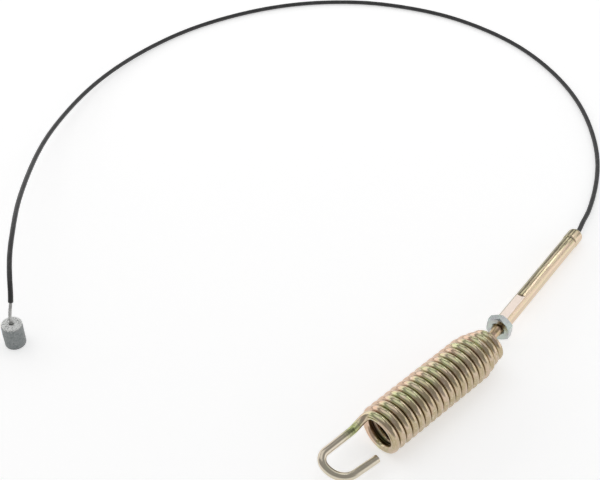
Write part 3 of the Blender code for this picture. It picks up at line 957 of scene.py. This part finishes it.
class BoltOperator(bpy.types.Operator):
    """Turn the swivel bolt and cut its thread"""
    bl_idname = "drive_cable.bolt"
    bl_label = "Swivel Bolt"

    def execute(self, context):
        part = context.scene.drive_adjuster
        neck = part.neck / 2
        major = part.thread / 2
        minor = major - part.thread_depth
        thread_start = part.nut_face + part.nut_thickness / 4
        back = math.degrees(math.acos(-part.head_back / part.head_radius))
        front = math.degrees(math.asin(neck / part.head_radius))
        profile = evenly((-part.head_back, 0.0), (-part.head_back, part.head_radius * 0.8), 0.001)
        profile += arc((0.0, 0.0), part.head_radius, back, front, 30)
        thread_end = part.bolt_length - 0.0006
        profile += [(thread_start - 0.0002, neck), (thread_start, minor), (thread_end, minor),
                    (part.bolt_length, minor - 0.0004), (part.bolt_length, 0.0)]
        bm = turned(profile, 64)
        self.add_thread(bm, thread_start, thread_end, minor, major, part.pitch)
        mesh = finished("swivel_bolt_threaded", bm, adjuster_frame(), 40)
        bolt = add_piece("swivel_bolt_threaded", mesh, bolt_material(part), "bolt", "swivel_bolt")
        return {"FINISHED"}

    def add_thread(self, bm, start, end, minor, major, pitch):
        """Sweep a V ridge round the bolt, rising by one pitch a turn."""
        steps = 30
        turns = int((end - start) / pitch) - 1
        middle = start + pitch / 2
        half = pitch * 0.46
        root = minor - 0.00004
        corners = [(root, middle - half), (major, middle), (root, middle + half)]
        face = bm.faces.new([bm.verts.new((radius, 0.0, height)) for radius, height in corners])
        bmesh.ops.spin(bm, geom=[face], cent=(0, 0, 0), axis=(0, 0, 1), dvec=(0, 0, pitch / steps),
                       angle=2 * math.pi * turns, steps=steps * turns, use_merge=False)


class NutOperator(bpy.types.Operator):
    """Cut the jam nut: hexagon, chamfers, countersinks and thread"""
    bl_idname = "drive_cable.nut"
    bl_label = "Jam Nut"

    def execute(self, context):
        part = context.scene.drive_adjuster
        near = part.nut_face
        far = near + part.nut_thickness
        flat = part.nut_flats / 2
        corner = flat / math.cos(math.pi / 6)
        bm = bmesh.new()
        bmesh.ops.create_cone(bm, cap_ends=True, segments=6, radius1=corner, radius2=corner,
                              depth=part.nut_thickness, matrix=Matrix.Rotation(part.nut_turn, 4, "Z"))
        bmesh.ops.translate(bm, verts=bm.verts, vec=(0, 0, (near + far) / 2))
        blank = finished("blank", bm)
        face = flat * 0.97
        slope = math.tan(math.radians(30))
        wide = corner + FIT
        drop = (wide - face) * slope
        past = 0.0005
        tip = face - past / slope
        envelope = finished("envelope", turned([
            (near - past, 0.0), (near - past, tip), (near + drop, wide),
            (far - drop, wide), (far + past, tip), (far + past, 0.0),
        ], 160))
        cutters = [("INTERSECT", envelope), ("DIFFERENCE", self.bore(part, near, far))]
        mesh = carved("jam_nut_zinc", blank, cutters)
        mesh.transform(adjuster_frame())
        self.soften(mesh)
        nut = add_piece("jam_nut_zinc", mesh, zinc_material(part), "nut", "jam_nut")
        return {"FINISHED"}

    def bore(self, part, near, far):
        """The drill that leaves the countersinks and the rings of the thread."""
        minor = part.thread / 2 + 0.0001
        sink = part.nut_sink / 2
        lead = sink - minor
        past = 0.001
        profile = [(near - past, 0.0), (near - past, sink + past), (near + lead, minor)]
        rings = int((far - near - 2 * lead) / part.pitch)
        for k in range(rings):
            base = near + lead + k * part.pitch
            profile += [(base + part.pitch * 0.5, minor + part.thread_depth * 0.8), (base + part.pitch, minor)]
        profile += [(far - lead, minor), (far + past, sink + past), (far + past, 0.0)]
        return finished("bore", turned(profile, 96))

    def soften(self, mesh):
        bm = bmesh.new()
        bm.from_mesh(mesh)
        bmesh.ops.remove_doubles(bm, verts=bm.verts, dist=1e-7)
        bm.to_mesh(mesh)
        bm.free()
        shade_smooth(mesh, 18)


class SleeveOperator(bpy.types.Operator):
    """Turn the adjuster sleeve, mill its flats and mark its surface"""
    bl_idname = "drive_cable.sleeve"
    bl_label = "Adjuster Sleeve"

    def execute(self, context):
        part = context.scene.drive_adjuster
        cable = context.scene.drive_cable
        body = part.sleeve / 2
        start = sleeve_start(part)
        tip = sleeve_tip(part)
        blank = finished("blank", turned(self.profile(part, cable, body, start, tip), 128, closed=True))
        past = 0.001
        block = Matrix.Diagonal((part.sleeve, part.sleeve, part.flat_length + past, 1.0))
        reach = Vector((body - part.flat_depth + part.sleeve / 2, 0.0, start + (part.flat_length - past) / 2))
        cutters = []
        for turn in (part.flat_turn, part.flat_turn + math.pi):
            bm = bmesh.new()
            bmesh.ops.create_cube(bm, size=1.0, matrix=block)
            place = Matrix.Rotation(turn, 4, "Z") @ Matrix.Translation(reach)
            cutters.append(("DIFFERENCE", finished("flat", bm, place)))
        mesh = carved("adjuster_sleeve_turned", blank, cutters)
        self.mark(mesh, part)
        shade_smooth(mesh, 20)
        mesh.transform(adjuster_frame())
        sleeve = add_piece("adjuster_sleeve_turned", mesh, sleeve_material(part), "sleeve", "adjuster_sleeve")
        return {"FINISHED"}

    def profile(self, part, cable, body, start, tip):
        collar = part.collar / 2
        bore = part.thread / 2 + 0.00015
        hole = cable.jacket / 2 + FIT * 0.7
        neck = tip - part.collar_length
        groove = part.groove
        break_edge = 0.0003
        shoulder = tip - part.stop_shoulder
        profile = [(start, bore + break_edge), (start, body - break_edge), (start + break_edge, body)]
        profile += evenly((start + 2 * break_edge, body), (neck - 3 * groove, body), 0.0010)
        profile += [(neck - 2 * groove, body), (neck - 1.3 * groove, body - 0.5 * groove),
                    (neck - 0.8 * groove, body - groove), (neck - 0.2 * groove, body - groove),
                    (neck + 0.3 * groove, body - 0.3 * groove), (neck + groove, body + (collar - body) * 0.5),
                    (neck + 2 * groove, body + (collar - body) * 0.85), (neck + 4 * groove, collar)]
        profile += arc((tip - part.collar_round, collar - part.collar_round), part.collar_round, 90, 0, 14)
        profile += [(tip, hole + break_edge), (tip - break_edge, hole), (shoulder, hole), (shoulder, bore),
                    (start + break_edge, bore)]
        return profile

    def mark(self, mesh, part):
        """Mark the side round the sleeve, which picks the painted shade, and the film's place on the surface,
        and the two milled flats.
        """
        # Painted shade: the sleeve is painted dark on the side that faces this turn
        painted_shade_turn = math.radians(128)
        drift = 0.045
        turns = [math.atan2(v.co.y, v.co.x) - painted_shade_turn for v in mesh.vertices]
        film = [(math.cos(turn), math.sin(turn), v.co.z / drift) for turn, v in zip(turns, mesh.vertices)]
        facing = Vector((math.cos(part.flat_turn), math.sin(part.flat_turn), 0.0))
        last = sleeve_start(part) + part.flat_length
        milled = [float(abs(f.normal.dot(facing)) > 0.9999 and f.center.z < last) for f in mesh.polygons]
        store(mesh, "film", film)
        store(mesh, "milled", milled, "FACE")


class StopOperator(bpy.types.Operator):
    """Finish the swaged stop inside the sleeve"""
    bl_idname = "drive_cable.stop"
    bl_label = "Cable Stop"

    def execute(self, context):
        node = frame["nodes"]["cable_stop"]
        steel = plain_steel_material()
        for slot in node.material_slots:
            slot.material = steel
        return {"FINISHED"}


class DriveCablePanel(bpy.types.Panel):
    """The cable's pieces and their main sizes"""
    bl_label = "Drive Cable"
    bl_idname = "VIEW3D_PT_drive_cable"
    bl_space_type = "VIEW_3D"
    bl_region_type = "UI"
    bl_category = "Drive Cable"

    def draw(self, context):
        for settings in (context.scene.drive_spring, context.scene.drive_adjuster, context.scene.drive_cable):
            box = self.layout.box()
            for name in settings.bl_rna.properties.keys():
                if name not in ("rna_type", "name"):
                    box.prop(settings, name)
        for operator in OPERATORS:
            self.layout.operator(operator.bl_idname)


SETTINGS = {"drive_spring": SpringSettings, "drive_adjuster": AdjusterSettings, "drive_cable": CableSettings}
OPERATORS = (StageOperator, RopeOperator, BarrelOperator, JacketOperator, SpringOperator,
             BoltOperator, NutOperator, SleeveOperator, StopOperator)


CLASSES = (*SETTINGS.values(), *OPERATORS, DriveCablePanel)


def register():
    for item in CLASSES:
        bpy.utils.register_class(item)
    for name, group in SETTINGS.items():
        setattr(bpy.types.Scene, name, PointerProperty(type=group))


def unregister():
    for name in SETTINGS:
        delattr(bpy.types.Scene, name)
    for item in reversed(CLASSES):
        bpy.utils.unregister_class(item)


def main():
    register()
    bpy.ops.drive_cable.stage()
    bpy.ops.drive_cable.rope()
    bpy.ops.drive_cable.barrel()
    bpy.ops.drive_cable.jacket()
    bpy.ops.drive_cable.spring()
    bpy.ops.drive_cable.bolt()
    bpy.ops.drive_cable.nut()
    bpy.ops.drive_cable.sleeve()
    bpy.ops.drive_cable.stop()


if __name__ == "__main__":
    main()
